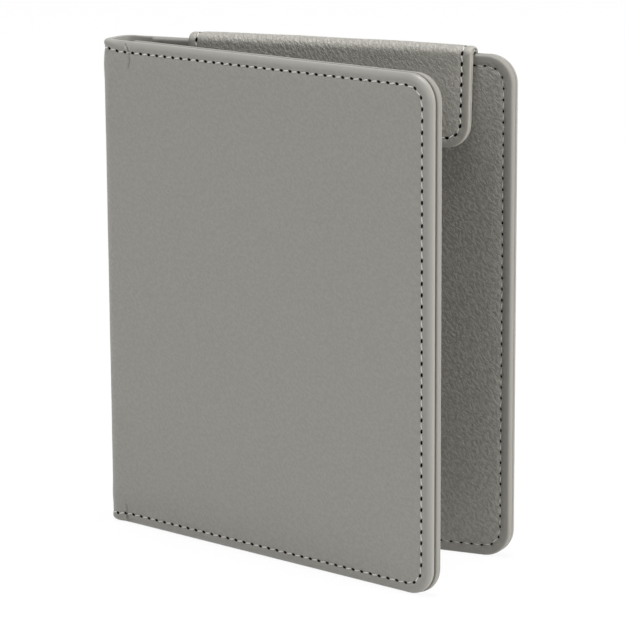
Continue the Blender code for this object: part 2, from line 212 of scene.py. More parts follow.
def leatherette(name, base, shade, grain_mm, grain_depth, stretch, roughness):
    """Polyurethane leatherette on a knitted back, embossed with a grain: matt, with soft broad lights.

    base is its colour and shade the painted shade of the grain's valleys, darker where shade falls in them;
    grain_mm is a pebble's width, grain_depth the emboss in millimetres, and stretch how far the pebbles are drawn
    out along one diagonal.
    """
    material, tree, shader = new_material(name)
    place = add_node(tree, "Attribute", attribute_name="leather_mm").outputs["Vector"]
    # Pebbles are pushed about, in waves of three of their widths, so that they lie in no rows
    warp = add_node(tree, "TexNoise", {"Vector": place, "Scale": 0.35 / grain_mm, "Detail": 2.0})
    push = {0: warp.outputs["Color"], "Scale": 1.5 * grain_mm}
    push = add_node(tree, "VectorMath", push, operation="SCALE")
    moved = add_node(tree, "VectorMath", {0: place, 1: push.outputs["Vector"]}, operation="ADD")
    drawn = add_node(
        tree,
        "Mapping",
        {"Vector": moved.outputs["Vector"], "Rotation": (0, 0, GRAIN_SLOPE), "Scale": (stretch, 1.0, 1.0)},
        vector_type="TEXTURE",
    ).outputs["Vector"]
    wrinkles = {"Vector": drawn, "Scale": 0.8 / grain_mm, "Detail": 4.0, "Roughness": 0.55}
    wrinkles = add_node(tree, "TexNoise", wrinkles).outputs["Fac"]
    wrinkles = {"Value": wrinkles, "From Min": 0.25, "From Max": 0.75}
    wrinkles = add_node(tree, "MapRange", wrinkles, **SOFT_STEP).outputs["Result"]
    # A net of fine creases between flat pebbles: 0 in a crease and 1 on a pebble
    net = {"Vector": drawn, "Scale": 1 / grain_mm, "Randomness": 1.0}
    net = add_node(tree, "TexVoronoi", net, feature="DISTANCE_TO_EDGE").outputs["Distance"]
    pebbles = {"Value": net, "From Min": 0.0, "From Max": 0.3}
    pebbles = add_node(tree, "MapRange", pebbles, **SOFT_STEP).outputs["Result"]
    height = add_node(tree, "Math", {0: pebbles, 1: 0.3, 2: wrinkles}, operation="MULTIPLY_ADD")
    height = height.outputs["Value"]
    # No grain is left where the leather is drawn round an edge
    kept = add_node(tree, "Attribute", attribute_name="grain_share").outputs["Fac"]
    relief = {"Height": height, "Distance": grain_depth * MM, "Strength": kept}
    relief = add_node(tree, "Bump", relief).outputs["Normal"]
    # Painted shade: the grain's valleys are painted darker, towards the shade colour, where shade falls in them,
    # and are also made duller
    deep = {"Value": height, "From Min": 0.3, "From Max": 1.0, "To Min": 1.0, "To Max": 0.0}
    deep = add_node(tree, "MapRange", deep, **SOFT_STEP).outputs["Result"]
    valley = add_node(tree, "Mix", {"Factor": kept, "A": EDGE_VALLEY, "B": deep}).outputs["Result"]
    paint = {"Factor": valley, "A": colour(base), "B": colour(shade)}
    paint = add_node(tree, "Mix", paint, data_type="RGBA").outputs["Result"]
    dullness = {"Value": valley, "To Min": roughness, "To Max": roughness + VALLEY_DULLNESS}
    dullness = add_node(tree, "MapRange", dullness, **SOFT_STEP).outputs["Result"]
    looks = {"Base Color": paint, "Roughness": dullness, "Normal": relief, "IOR": 1.48}
    set_inputs(tree, shader, looks)
    return material


def fibrous(name, on_leather, scale, detail, low, high, looks):
    """A new material whose fibres lie between two colours, its node tree and its fibres' pattern."""
    material, tree, shader = new_material(name)
    if on_leather:
        place = add_node(tree, "Attribute", attribute_name="leather_mm").outputs["Vector"]
    else:
        place = add_node(tree, "TexCoord").outputs["Object"]
    fibre = add_node(tree, "TexNoise", {"Vector": place, "Scale": scale, "Detail": detail}).outputs["Fac"]
    paint = {"Factor": fibre, "A": colour(low), "B": colour(high)}
    paint = add_node(tree, "Mix", paint, data_type="RGBA").outputs["Result"]
    set_inputs(tree, shader, {"Base Color": paint, **looks})
    return material, tree, fibre


def needle_cut():
    """The inside of a needle's cut, painted near-black: painted shadow in its depths, over raw foamed polyurethane
    and backing.
    """
    looks = {"Roughness": 0.95, "Specular IOR Level": 0.1}
    # Fibres about 0.12 mm apart
    return fibrous("needle_cut_painted_shadow", True, 8.0, 2.0, "#080807", "#151412", looks)[0]


def polyester_thread():
    """Three-ply filament polyester thread: pale, with a silky light along each ply."""
    looks = {"Roughness": 0.5, "Sheen Weight": 0.2}
    # Filaments about 0.07 mm apart, which is coarser than real ones, so that they show
    made = fibrous("polyester_sewing_thread", True, 14.0, 2.0, "#b8b6b0", "#dedcd6", looks)
    material, tree, fibre = made
    relief = add_node(tree, "Bump", {"Height": fibre, "Distance": 0.02 * MM}).outputs["Normal"]
    set_inputs(tree, tree.nodes["Principled BSDF"], {"Normal": relief})
    return material


def grey_board():
    """Grey pressed board, made of waste paper: flecked and fibrous."""
    # Fibres about 0.8 mm long, in metres
    return fibrous("grey_pressed_board", False, 1250.0, 4.0, "#7d766b", "#a39b8e", {"Roughness": 0.95})[0]


def nickel_plate():
    """Nickel-plated steel disc, barrel finished: soft cloudy reflections."""
    material, tree, shader = new_material("nickel_plated_steel")
    place = add_node(tree, "TexCoord").outputs["Object"]
    # Tumbling marks about 1 mm apart
    marks = add_node(tree, "TexNoise", {"Vector": place, "Scale": 1000.0, "Detail": 3.0}).outputs["Fac"]
    cloud = {"Value": marks, "From Min": 0.3, "From Max": 0.7, "To Min": 0.25, "To Max": 0.42}
    cloud = add_node(tree, "MapRange", cloud, **SOFT_STEP).outputs["Result"]
    set_inputs(tree, shader, {"Base Color": colour("#c4c2bd"), "Metallic": 1.0, "Roughness": cloud})
    return material


# Each leatherette: its colour, the painted shade of its valleys, the grain's width and depth in mm, stretch and
# roughness
FINISHES = {
    "outer_leather": leatherette("smooth_grained_leatherette", "#8e8c86", "#878580", 0.6, 0.05, 1.7, 0.38),
    # Painted light: the flap's leatherette is painted lighter than the covers' and the lining's, for the more
    # light the flap gets; its deeper grain is its own
    "flap_leather": leatherette("flap_leatherette_painted_lighter", "#9a9891", "#8c8a83", 0.72, 0.17, 1.6, 0.42),
    "lining_leather": leatherette("pebbled_leatherette", "#8a8882", "#797771", 0.76, 0.18, 1.6, 0.46),
    "needle_cut": needle_cut(),
    "thread": polyester_thread(),
    "board": grey_board(),
    "steel": nickel_plate(),
}


# Outlines and seams on the flat leather


class Outline:
    """A sheet's outline with two round corners at its far end, open or closed at its start.

    It runs from start along its foot, round the far end and back along its head. Each inset gives as
    many points, so that outlines join into a rolled edge.
    """

    def __init__(self, start, width, height, corner, closed=False):
        self.start, self.width, self.height = start, width, height
        self.corner, self.closed = corner, closed
        first = start + (PANEL_CORNER if closed else 0)
        self.along = np.arange(first, min(SOFT_END, width - corner - 1), FINE_STEP)
        rest = round((width - corner - self.along[-1]) / RING_STEP)
        self.along = np.concatenate([self.along, np.linspace(self.along[-1], width - corner, rest + 1)[1:]])
        self.runs = len(self.along) - 1
        self.rises = max(2, round((height - 2 * corner) / RING_STEP))

    def ring(self, inset, start_inset=0.0):
        start = self.start + start_inset
        along = np.maximum(self.along, start + (PANEL_CORNER if self.closed else 0))
        along += 1e-4 * np.arange(len(along)) * (self.along < along)
        up = np.linspace(self.corner, self.height - self.corner, self.rises + 1)
        turn = np.linspace(-math.pi / 2, 0, CORNER_STEPS + 1)[1:-1]
        reach = self.corner - inset
        across = self.width - self.corner + reach * np.cos(turn)
        low = self.corner + reach * np.sin(turn)
        half = [
            np.stack([along, np.full(len(along), inset)], 1),
            np.stack([across, low], 1),
            np.stack([np.full(len(up), self.width - inset), up], 1),
        ]
        points = np.concatenate(half + [self.mirrored(part) for part in half[1::-1]])
        if self.closed:
            down = np.linspace(self.height - inset - PANEL_CORNER, inset + PANEL_CORNER, self.rises + 1)
            points = np.concatenate([points, np.stack([np.full(len(down), start), down], 1)])
        return points

    def mirrored(self, part):
        return np.stack([part[:, 0], self.height - part[:, 1]], 1)[::-1]

    def inset_of(self, points):
        """How far each point lies inside the outline, its start left out."""
        middle = self.height / 2
        far = points[:, 0] - (self.width - self.corner)
        aside = np.abs(points[:, 1] - middle) - (middle - self.corner)
        outside = np.hypot(np.maximum(far, 0), np.maximum(aside, 0))
        return self.corner - (np.minimum(np.maximum(far, aside), 0) + outside)


class Strip:
    """A strip that is rolled along its foot and head and cut square at both ends."""

    closed = False

    def __init__(self, start, end, height):
        self.start, self.end, self.height = start, end, height
        self.runs = round((end - start) / (RING_STEP / 2))

    def ring(self, inset, _=0.0):
        along = np.linspace(self.start, self.end, self.runs + 1)
        foot = np.stack([along, np.full(len(along), inset)], 1)
        return np.concatenate([foot, np.stack([along[::-1], self.height - foot[:, 1]], 1)])

    def inset_of(self, points):
        return np.minimum(points[:, 1], self.height - points[:, 1])


class Row:
    """A row of stitches: the needle's cuts, in order, and the row's direction at each."""

    def __init__(self, places, headings, slant, size=1.0):
        self.places, self.headings = np.asarray(places, float), np.asarray(headings, float)
        self.slant, self.size = slant, size

    def part(self, keep):
        """Rows of the cuts that a test keeps, split where some are left out."""
        rows, run = [], []
        for i, wanted in enumerate([*keep, False]):
            if wanted:
                run.append(i)
            elif run:
                rows.append(Row(self.places[run], self.headings[run], self.slant, self.size))
                run = []
        return rows


def walk(line, pitch, first=0.5):
    """Places and headings at equal steps along a line of points, beginning at a share of a step."""
    steps = np.diff(line, axis=0)
    lengths = np.concatenate([[0], np.cumsum(np.hypot(steps[:, 0], steps[:, 1]))])
    count = round(lengths[-1] / pitch)
    pitch = lengths[-1] / count
    at = np.linspace(first, count - first, round(count - 2 * first) + 1) * pitch
    places = np.stack([np.interp(at, lengths, line[:, k]) for k in (0, 1)], 1)
    piece = np.clip(np.searchsorted(lengths, at, side="right") - 1, 0, len(steps) - 1)
    return places, np.arctan2(steps[piece, 1], steps[piece, 0])


def seam_row(outline, margin, slant, size=1.0, first=0.5, pitch=PITCH):
    places, headings = walk(outline.ring(margin), pitch, first)
    return Row(places, headings, slant, size)


# Relief of the leather: how a sheet's face rises and falls


def smooth(value):
    value = np.clip(value, 0, 1)
    return value * value * (3 - 2 * value)


def bell(distance, width):
    return np.exp(-((distance / width) ** 2))


WAVES = ((61, 0.45), (37, 0.3), (23, 0.25))  # length in millimetres and share of each


def waves(points, seed):
    """Soft unevenness of glued leather, between -1 and 1."""
    total = np.zeros(len(points))
    for k, (length, weight) in enumerate(WAVES):
        turn = seed * 1.7 + k * 2.4
        along = points[:, 0] * math.cos(turn) + points[:, 1] * math.sin(turn)
        aside = points[:, 1] * math.cos(turn) - points[:, 0] * math.sin(turn)
        total += weight * np.sin(2 * math.pi * along / length + turn) * np.cos(5 * aside / length)
    return total


def from_line(points, line):
    """Distance of each point from a bent line."""
    best = np.full(len(points), np.inf)
    for a, b in zip(line[:-1], line[1:]):
        a, run = np.array(a, float), np.array(b, float) - a
        share = np.clip(((points - a) @ run) / (run @ run), 0, 1)
        best = np.minimum(best, np.linalg.norm(points - a - share[:, None] * run, axis=1))
    return best


class Face:
    """The relief of a sheet's face: stitch channels, needle cuts, creases and padding."""

    DOME_WIDTH = 3.3  # of the leather outside the stitches, which slopes down to the edge
    # Channel, pucker and cut together stay less deep than the skin is thick
    CHANNEL_DEPTH, CHANNEL_WIDTH = 0.24, 0.62  # where a row pulls the leather down
    PUCKER_DEPTH, PUCKER_WIDTH = 0.14, 0.95  # round each cut
    SLIT_LENGTH, SLIT_WIDTH, SLIT_DEPTH = 0.7, 0.46, 0.25  # of a cut, as half its length and width
    SLIT_WALL = 1.25  # steepness of a cut's wall
    SWELL_FROM, SWELL_OVER = 4.0, 8.0  # where the padding begins to swell, and over what width
    UNEVEN_FROM, UNEVEN_OVER = 5.0, 12.0
    BANK_HEIGHT, BANK_PLACE = 0.45, 1.9  # beside a crease, in its depths and widths
    EDGE_WITHOUT_GRAIN = 1.1

    def __init__(self, outline, rows, seed, swell=0.0, unevenness=0.0, creases=(), extra=None,
                 bite=1.0, dome=0.12, grain_in=2.0):
        """swell is the padding's height, extra a function that adds its own relief, bite the channel's
        share, dome the fall of the margin and grain_in the width over which the grain fades in."""
        self.outline, self.rows, self.seed = outline, rows, seed
        self.swell, self.unevenness, self.creases, self.extra = swell, unevenness, creases, extra
        self.bite, self.dome, self.grain_in = bite, dome, grain_in
        self.cuts = np.concatenate([row.places for row in rows]) if rows else np.zeros((0, 2))
        turns = [row.headings + row.slant for row in rows]
        self.turns = np.concatenate(turns) if rows else np.zeros(0)
        self.sizes = np.concatenate([np.full(len(row.places), row.size) for row in rows] or [[]])

    def nearest_cut(self, points):
        """Distance of each point from the nearest cut, and how far it lies in that cut: 1 on its rim."""
        near = np.full(len(points), np.inf)
        inside = np.full(len(points), np.inf)
        for place, turn, size in zip(self.cuts, self.turns, self.sizes):
            close = np.flatnonzero(np.abs(points - place).max(1) < 4)
            x, z = (points[close] - place).T
            along = x * math.cos(turn) + z * math.sin(turn)
            aside = z * math.cos(turn) - x * math.sin(turn)
            near[close] = np.minimum(near[close], np.hypot(along, aside))
            spread = np.hypot(along / (self.SLIT_LENGTH * size), aside / (self.SLIT_WIDTH * size))
            inside[close] = np.minimum(inside[close], spread)
        return near, inside

    def rim(self, k, scale):
        """Points round a needle's cut."""
        angle = 2 * math.pi * np.arange(SLIT_SIDES) / SLIT_SIDES
        long, wide = (value * scale * self.sizes[k] for value in (self.SLIT_LENGTH, self.SLIT_WIDTH))
        x, z = long * np.cos(angle), wide * np.sin(angle)
        c, s = math.cos(self.turns[k]), math.sin(self.turns[k])
        return self.cuts[k] + np.stack([x * c - z * s, x * s + z * c], 1)

    def grain_share(self, points):
        """How much of its grain the leather keeps, which is less where it is drawn round an edge."""
        return smooth((self.outline.inset_of(points) - self.EDGE_WITHOUT_GRAIN) / self.grain_in)

    def height(self, points, with_cuts=True):
        inset = self.outline.inset_of(points)
        near, inside = self.nearest_cut(points)
        rise = self.swell * smooth((inset - self.SWELL_FROM) / self.SWELL_OVER)
        rise = rise - self.dome * np.clip(1 - inset / self.DOME_WIDTH, 0, 1) ** 2
        loose = smooth((inset - self.UNEVEN_FROM) / self.UNEVEN_OVER)
        rise += self.unevenness * waves(points, self.seed) * loose
        for row in self.rows:
            rise -= self.bite * self.CHANNEL_DEPTH * bell(from_line(points, row.places), self.CHANNEL_WIDTH)
        rise -= self.PUCKER_DEPTH * bell(np.minimum(near, 9), self.PUCKER_WIDTH)
        for line, depth, width in self.creases:
            away = from_line(points, line)
            bank = self.BANK_HEIGHT * bell(away - self.BANK_PLACE * width, width)
            rise += depth * (bank - bell(away, width))
        if self.extra:
            rise += self.extra(points)
        if with_cuts:
            rise -= self.SLIT_DEPTH * smooth(self.SLIT_WALL * (1 - inside))
        return rise


# Meshes


class Scatter:
    """Points of a mesh, none closer to another than its own gap."""

    CELL = 1.0

    def __init__(self):
        self.points, self.cells = [], {}

    def add(self, points, gap):
        reach = math.ceil(gap / self.CELL)
        for x, z in points:
            i, j = math.floor(x / self.CELL), math.floor(z / self.CELL)
            around = [(i + a, j + b) for a in range(-reach, reach + 1) for b in range(-reach, reach + 1)]
            near = [k for cell in around for k in self.cells.get(cell, ())]
            if any(math.hypot(self.points[k][0] - x, self.points[k][1] - z) < gap for k in near):
                continue
            self.cells.setdefault((i, j), []).append(len(self.points))
            self.points.append((x, z))


CUT_RINGS = ((1.4, 0.1), (2.0, 0.16))  # points round a cut: size of their ring, and their gap
ROW_STEP, CREASE_STEP = 0.45, 0.35
ROW_LINES = (0, 0.35, -0.35, 0.75, -0.75, 1.25, -1.25)  # distances from a row
CREASE_LINES = (0, 0.5, -0.5, 1.1, -1.1, 2.0, -2.0, 3.0, -3.0)  # distances from a crease, in its widths
CREASE_GAP = 0.22
FOLD_GAP = 0.55


def beside(line, step, aside):
    """Points at equal steps, at a distance from a line."""
    places, headings = walk(line, step, 0)
    return places + np.stack([-np.sin(headings), np.cos(headings)], 1) * aside


def face_points(face, border, fold_end=None):
    """Points over a sheet's face, and the loops that its triangles keep to."""
    made = Scatter()
    made.add(border, 0.0)
    loops = [list(range(len(border)))]
    for k in range(len(face.cuts)):
        first = len(made.points)
        made.add(face.rim(k, 1.0), 0.0)
        loops.append(list(range(first, len(made.points))))
        made.add(face.rim(k, 0.55), 0.0)
        made.add([face.cuts[k]], 0.0)
    for k in range(len(face.cuts)):
        for scale, gap in CUT_RINGS:
            made.add(face.rim(k, scale), gap)
    for row in face.rows:
        for aside in ROW_LINES:
            made.add(beside(row.places, ROW_STEP, aside), 0.28 + 0.15 * abs(aside))
    for line, _, width in face.creases:
        for aside in CREASE_LINES:
            made.add(beside(np.array(line, float), CREASE_STEP, aside * width), CREASE_GAP)
    low, high = border.min(0), border.max(0)
    if fold_end is not None:
        made.add(inner_grid(low, (min(fold_end, high[0]), high[1]), FOLD_GRID, border), FOLD_GAP)
    made.add(inner_grid(low, high, FLAT_GRID, border), 0.5 * FLAT_GRID)
    return made.points, loops


def inner_grid(low, high, step, border):
    """A staggered grid, of nearly equal-sided triangles, that keeps off the border."""
    points = []
    for j, z in enumerate(np.arange(low[1] + step / 2, high[1] - step / 4, step * 0.87)):
        for x in np.arange(low[0] + step * (0.5 if j % 2 else 0.9), high[0] - step / 4, step):
            points.append((x, z))
    points = np.array(points)
    away = from_line(points, np.vstack([border, border[:1]])[::2])
    return points[away > 0.35 * step]


class Sheet:
    """A turned-in skin as one closed mesh: its face, rolled edge, turned-in strip and inside."""

    def __init__(self, name, outline, face, top, place, profile, spread=None):
        self.name, self.outline, self.face, self.top = name, outline, face, top
        self.place, self.profile, self.spread = place, profile, spread
        self.flat, self.levels, self.faces, self.cut_faces = [], [], [], set()

    def level(self, points, with_cuts=True):
        return self.top + self.face.height(points, with_cuts)

    def add_face(self, roll_in, start_inset, fold_end):
        ring = self.outline.ring(roll_in, start_inset)
        border = ring
        if isinstance(self.outline, Strip):
            half = len(ring) // 2
            border = np.vstack([ring[:half], self.cross(ring[half - 1], ring[half]), ring[half:]])
        if not self.outline.closed:
            border = np.vstack([border, self.cross(border[-1], border[0])])
        points, loops = face_points(self.face, border, fold_end)
        edges = [(a, b) for loop in loops for a, b in zip(loop, loop[1:] + loop[:1])]
        flat = [Vector(point) for point in points]
        out, _, triangles, origin, _, _ = delaunay_2d_cdt(flat, edges, [], 0, 1e-7, True)
        at = {source: k for k, sources in enumerate(origin) for source in sources}
        self.flat = [tuple(point) for point in out]
        coordinates = np.array(self.flat)
        self.levels = list(self.level(coordinates))
        middles = np.array([coordinates[list(corners)].mean(0) for corners in triangles])
        _, inside = self.face.nearest_cut(middles)
        keep = self.within(middles, border)
        for corners, wanted, deep in zip(triangles, keep, inside):
            if wanted:
                if deep < 1:
                    self.cut_faces.add(len(self.faces))
                self.faces.append(list(corners))
        places = {tuple(np.round(point, 6)): at[i] for i, point in enumerate(border)}
        return [places[tuple(np.round(point, 6))] for point in ring]

    @staticmethod
    def cross(a, b):
        """Points between the two ends of an open outline."""
        count = max(2, round(np.linalg.norm(b - a) / (2 * RING_STEP)))
        return np.linspace(a, b, count + 1)[1:-1]

    @staticmethod
    def within(points, border):
        """Which points lie inside a convex border."""
        inside = np.ones(len(points), bool)
        for a, b in zip(border, np.roll(border, -1, 0)):
            side = (b[0] - a[0]) * (points[:, 1] - a[1]) - (b[1] - a[1]) * (points[:, 0] - a[0])
            inside &= side > -1e-6
        return inside

    def add_ring(self, inset, level, share, start_inset):
        ring = self.outline.ring(inset, start_inset)
        first = len(self.flat)
        levels = np.full(len(ring), level)
        if share:
            levels += share * self.face.height(ring, False)
        if self.spread is not None:
            levels = np.maximum(levels, self.spread(ring, level))
        self.flat += [tuple(point) for point in ring]
        self.levels += list(levels)
        return list(range(first, len(self.flat)))

    def join(self, low, high):
        half = len(low) // 2 if isinstance(self.outline, Strip) else None
        for i in range(len(low) if self.outline.closed else len(low) - 1):
            if half is not None and i == half - 1:
                continue
            j = (i + 1) % len(low)
            self.faces.append([low[i], low[j], high[j], high[i]])

    def close_inside(self, last):
        if self.outline.closed:
            self.faces.append(last)
            return
        count = len(last)
        runs = self.outline.runs
        for i in range(runs):
            self.faces.append([last[i], last[i + 1], last[count - 2 - i], last[count - 1 - i]])
        if not isinstance(self.outline, Strip):
            self.faces.append(last[runs : count - runs])

    def leather_axes(self, flat):
        return flat

    def build(self, slot, fold_end=None, finish=None):
        roll_in, start_inset = self.profile[0][0], self.profile[0][3]
        before = self.add_face(roll_in, start_inset, fold_end)
        for inset, level, share, edge in self.profile[1:]:
            ring = self.add_ring(inset, level, share, edge)
            self.join(before, ring)
            before = ring
        self.close_inside(before)
        flat, levels = np.array(self.flat), np.array(self.levels)
        used = sorted({k for corners in self.faces for k in corners})
        at = {k: i for i, k in enumerate(used)}
        faces = [[at[k] for k in corners] for corners in self.faces]
        flat, levels = flat[used], levels[used]
        axes = self.leather_axes(flat)
        places = self.place(flat, levels)
        item = make_object(self.name, places, faces, slot, axes, levels, self.face.seed, finish)
        kept = item.data.attributes.new("grain_share", "FLOAT", "POINT")
        kept.data.foreach_set("value", self.face.grain_share(flat).astype(np.float32))
        # The faces inside each needle's cut take the near-black painted shadow
        item.data.materials.append(FINISHES["needle_cut"])
        for k in self.cut_faces:
            item.data.polygons[k].material_index = 1
        close_ends(item.data)
        return item


PATTERN_SHIFT = 40  # between two pieces' places in a pattern


def make_object(name, places, faces, slot, flat, levels, seed, finish=None):
    """A mesh piece whose leather coordinates go with its vertices."""
    mesh = bpy.data.meshes.new(name)
    mesh.from_pydata([tuple(point * MM) for point in places], [], faces)
    coordinates = mesh.attributes.new("leather_mm", "FLOAT_VECTOR", "POINT")
    values = np.stack([flat[:, 0], flat[:, 1], levels + PATTERN_SHIFT * seed], 1)
    coordinates.data.foreach_set("vector", values.astype(np.float32).ravel())
    mesh.materials.append(FINISHES[finish or slot])
    item = add_object(name, mesh)
    return item


SHARP_ANGLE = math.radians(50)  # between two faces whose edge stays sharp


def close_ends(mesh):
    """Caps the open ends of a sheet, turns its faces outwards and shades it smooth but for sharp rims."""
    shape = bmesh.new()
    shape.from_mesh(mesh)
    rims = [edge for edge in shape.edges if edge.is_boundary]
    if rims:
        bmesh.ops.holes_fill(shape, edges=rims, sides=0)
    bmesh.ops.recalc_face_normals(shape, faces=shape.faces)
    shape.to_mesh(mesh)
    shape.free()
    mesh.shade_smooth()
    mesh.set_sharp_from_angle(angle=SHARP_ANGLE)


# Each stitch, in millimetres where the row's cuts have full size
SHORTEST_STITCH = 0.6
STITCH_REACH = 0.62  # from a cut's middle to where the thread comes out of it
STITCH_SKEW, STITCH_SWAY = 0.14, 0.03
STITCH_ARCH = 0.05
DIVE_DEPTH, DIVE_LENGTH = 0.32, 0.5
PLY_RELIEF = 0.13  # of the three plies, as a share of the thread
THREAD_PULLED, THREAD_PLUMP = 0.66, 0.46  # its thickness in a cut, and how much more it has outside


def thread_piece(name, sheet, thread, links=()):
    """All the visible stitches on a sheet: a twisted thread from each needle's cut to the next."""
    rows, seed = sheet.face.rows, sheet.face.seed
    chance = np.random.RandomState(int(100 * seed) + 7)
    flat, levels, faces = [], [], []
    pairs = [(row, *pair) for row in rows for pair in zip(row.places[:-1], row.places[1:])]
    pairs += [(rows[0], *pair) for pair in links]
    for row, start, end in pairs:
        if np.linalg.norm(end - start) > SHORTEST_STITCH:
            add_stitch(flat, levels, faces, row, start, end, sheet.level, *thread, chance)
    flat, levels = np.concatenate(flat), np.concatenate(levels)
    item = make_object(name, sheet.place(flat, levels), faces, "thread", flat, levels, seed)
    item.data.shade_smooth()
    return item


def add_stitch(flat, levels, faces, row, start, end, level, thick, lift, chance):
    """One stitch: it comes up at one end of its cut, lies askew and dives at the other end of the next."""
    run = end - start
    long = np.linalg.norm(run)
    along = run / long
    aside = np.array([-along[1], along[0]])
    skew = STITCH_SKEW * row.size * math.copysign(1, row.slant)
    share = np.linspace(0, 1, THREAD_RINGS)
    reach = STITCH_REACH * row.size
    at = reach + (long - 2 * reach) * share
    sway = skew * np.cos(math.pi * share) + STITCH_SWAY * chance.uniform(-1, 1)
    centre = start + at[:, None] * along + sway[:, None] * aside
    dive = np.minimum(share, 1 - share) * long
    drop = (thick + DIVE_DEPTH) * (1 - smooth(dive / DIVE_LENGTH))
    rise = level(centre, False) + lift - drop + STITCH_ARCH * np.sin(math.pi * share)
    tilt = np.arctan(np.gradient(rise, at))
    first = sum(len(part) for part in flat)
    turn = chance.uniform(0, 2 * math.pi)
    angle = 2 * math.pi * np.arange(THREAD_SIDES) / THREAD_SIDES
    for k in range(THREAD_RINGS):
        ply = 1 + PLY_RELIEF * np.cos(3 * (angle + turn + TWIST_PER_MM * at[k]))
        # A stitch is plumpest near the end at which it was pulled in last
        full = share[k] if along[0] > along[1] else 1 - share[k]
        radius = thick * ply * (THREAD_PULLED + THREAD_PLUMP * math.sin(math.pi * full**1.5))
        up, out = radius * np.sin(angle), radius * np.cos(angle)
        flat.append(centre[k] - np.outer(up * math.sin(tilt[k]), along) + np.outer(out, aside))
        levels.append(rise[k] + up * math.cos(tilt[k]))
    around = np.arange(THREAD_SIDES)
    for k in range(THREAD_RINGS - 1):
        low, high = first + k * THREAD_SIDES, first + (k + 1) * THREAD_SIDES
        for i, j in zip(around, np.roll(around, -1)):
            faces.append([int(low + i), int(low + j), int(high + j), int(high + i)])
    last = first + (THREAD_RINGS - 1) * THREAD_SIDES
    faces.append([int(first + i) for i in around[::-1]])
    faces.append([int(last + i) for i in around])


# The two covers and the spine between them


class Cover:
    """A cover and its half of the spine; way is 1 where its outside faces +Y."""

    def __init__(self, label, axis, turn, way):
        self.label, self.axis, self.turn, self.way = label, axis, turn, way

    def to_world(self, u, n, z):
        c, s = math.cos(self.turn), math.sin(self.turn)
        y = n * self.way
        return np.stack([self.axis.x + u * c - y * s, self.axis.y + u * s + y * c, z], 1)

    def placer(self, out, level, drawn_in=0.0):
        """Bends a sheet round the fold; out is 1 on the outside, and level is where its length is true."""

        def place(flat, levels):
            radius = FOLD_RADIUS + out * level
            past = FOLD_TANGENT - flat[:, 0]
            angle = np.clip(past / radius, 0, FOLD_SWEEP)
            rest = np.maximum(past - radius * FOLD_SWEEP, 0)
            n = out * levels
            u = FOLD_TANGENT - (FOLD_RADIUS + n) * np.sin(angle) - rest * np.cos(angle)
            y = (FOLD_RADIUS + n) * np.cos(angle) - FOLD_RADIUS - rest * np.sin(angle)
            u = np.where(past > 0, u, flat[:, 0])
            y = np.where(past > 0, y, n)
            return self.to_world(u, y, spine_end(flat, drawn_in))

        return place

    def point(self, u, n=0.0):
        return Vector(self.to_world(np.array([u]), np.array([n]), np.array([0.0]))[0]) * MM

    def bends(self, *items):
        """Bakes each piece's transform into its mesh."""
        for item in items:
            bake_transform(item)


# From a fold's axis, in millimetres along the cover and along the spine
# The spine's soft ends
SOFT_OVER = 6.0  # the width over which the leather is less and less held by the cover's board
END_SPREAD = 2.4  # how far from its end the spine's leather is pressed outwards most
END_PRESS = 0.78
DRAWN_LENGTH = 5.0  # the part of the lining that is drawn in at each end
SPINE_ROUND, SPINE_ROUND_WIDTH = 0.28, 4.0
FLARE_HEAD, FLARE_FOOT = 0.3, 0.4  # outside the stitches
PINCH_HEAD, PINCH_FOOT = -0.12, 0.2  # at the stitches
BELLY = 0.18  # inside them


def softness(along, reach):
    """How free the leather is of the cover's board: 1 on the spine, 0 past a reach on the cover."""
    return smooth((FOLD_TANGENT + reach - along) / SOFT_OVER)


def spine_end(flat, drawn_in):
    """Height of each point; without a board, the spine's ends are squarer than the covers'."""
    along, z = flat.T
    foot, head = z, COVER_HEIGHT - z
    press = [END_PRESS * (i / END_SPREAD) * np.exp(1 - i / END_SPREAD) for i in (foot, head)]
    z = z + softness(along, 4.5) * (press[1] - press[0])
    # The drawn-in edge ripples in waves of 2.4 and 1.3 mm
    ripple = 1 + 0.2 * np.sin(along * 2.6) + 0.07 * np.sin(along * 4.9 + 1)
    return z + drawn_in * ripple * (smooth(1 - foot / DRAWN_LENGTH) - smooth(1 - head / DRAWN_LENGTH))


def sheet_start(out, level):
    """Where the middle of the spine lies on a sheet."""
    return FOLD_TANGENT - (FOLD_RADIUS + out * level) * FOLD_SWEEP - SPINE_REST


def rolled_edge(top, roll_in, roll_down, start_roll=0.0, squareness=ROLL_SQUARENESS):
    """Rings from a face over its edge to the seam: inset, level, share of the relief, start's inset."""
    rings = []
    for i in range(ROLL_STEPS + 1):
        angle = math.pi / 2 * i / ROLL_STEPS
        across, down = math.sin(angle) ** squareness, 1 - math.cos(angle) ** squareness
        level = top - roll_down * down
        edge = start_roll * (1 - math.sin(min(1.0, (top - level) / max(start_roll, 1e-9)) * math.pi / 2))
        rings.append((roll_in * (1 - across), level, 1 - down, edge))
    for angle in (0.0, 30.0, 60.0, 90.0):
        sine, cosine = math.sin(math.radians(angle)), math.cos(math.radians(angle))
        rings.append((LIP_IN * (1 - cosine), SEAM_GAP + LIP_DOWN * (1 - sine), 0.0, 0.0))
    return rings


def edge_profile(top, roll_in, roll_down, turn_in, start_roll=0.0, squareness=ROLL_SQUARENESS):
    """The rings over a rolled edge, along the strip turned in, and back over it along the board."""
    start_turn, start_skin = (turn_in / 2, SKIN) if start_roll else (0.0, 0.0)
    return rolled_edge(top, roll_in, roll_down, start_roll, squareness) + [
        (turn_in, SEAM_GAP, 0.0, start_turn),
        (turn_in, SEAM_GAP + SKIN, 0.0, start_turn),
        (SKIN, SEAM_GAP + SKIN, 0.0, start_skin),
        (SKIN, top - SKIN - BOARD_CHAMFER, 0.0, start_skin),
        (SKIN + BOARD_CHAMFER, top - SKIN, 0.0, start_skin),
    ]


